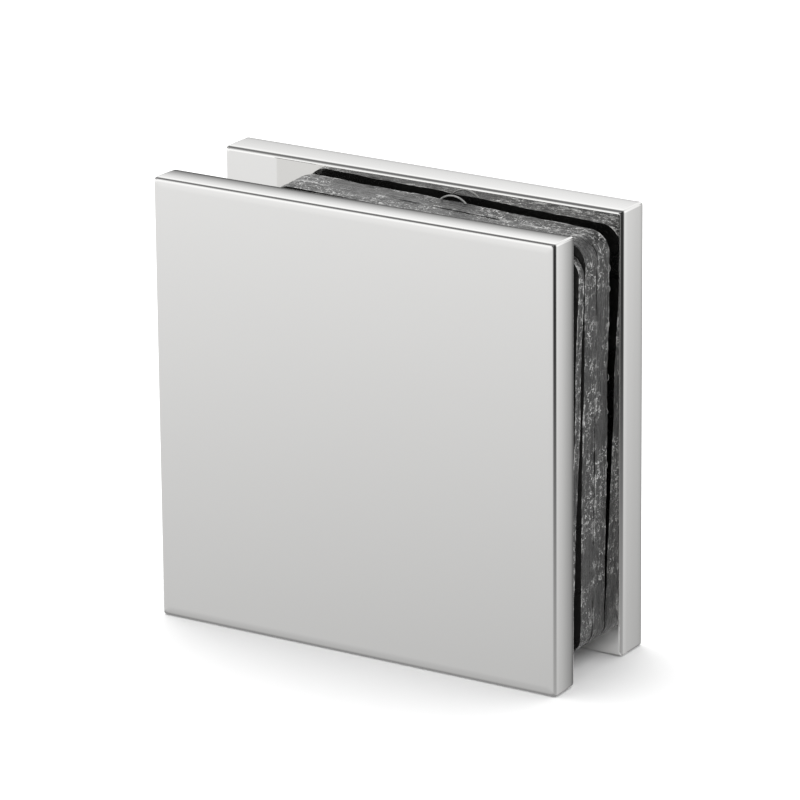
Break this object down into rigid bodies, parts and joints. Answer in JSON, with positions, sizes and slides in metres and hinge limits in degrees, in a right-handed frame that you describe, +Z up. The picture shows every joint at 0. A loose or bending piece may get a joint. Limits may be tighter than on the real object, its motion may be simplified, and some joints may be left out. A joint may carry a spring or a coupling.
{
  "type": "glass clamp",
  "caption": "Square polished chrome clamp that holds a glass pane to a wall: flat plates with clear gaskets between them, drawn together by countersunk screws from behind",
  "frame": {"origin": "Middle of the box's underside: the clamp stands on the lower edges of its two plates", "axes": "+X away from the wall towards the glass, +Y from the front plate to the back plate, +Z up"},
  "size_m": [0.05, 0.0186, 0.05],
  "materials": {
    "chrome": "polished",
    "clear_vinyl": "gloss",
    "screw_steel": "satin"
  },
  "bodies": {
    "front": {"front_plate": "chrome", "front_thin_gasket": "clear_vinyl"},
    "back": {"back_plate": "chrome", "rear_thick_gasket": "clear_vinyl", "middle_thick_gasket": "clear_vinyl", "middle_thin_gasket": "clear_vinyl"},
    "upper_screw": {"upper_screw": "screw_steel"},
    "lower_screw": {"lower_screw": "screw_steel"}
  },
  "joints": [
    {"name": "clamp_slide", "type": "slide", "parent": "front", "child": "back", "axis": [0, 1, 0], "range_m": [-0.0005, 0.005]},
    {"name": "upper_screw_turn", "type": "hinge", "parent": "back", "child": "upper_screw", "pos_m": [-0.015, 0.005, 0.036], "axis": [0, 1, 0], "range_deg": [-225, 2250]},
    {"name": "lower_screw_turn", "type": "hinge", "parent": "back", "child": "lower_screw", "pos_m": [-0.015, 0.005, 0.014], "axis": [0, 1, 0], "range_deg": [-225, 2250]}
  ],
  "couplings": [
    {"joint": "upper_screw_turn", "follows": "clamp_slide", "rad_per_m": 7854},
    {"joint": "lower_screw_turn", "follows": "clamp_slide", "rad_per_m": 7854}
  ]
}
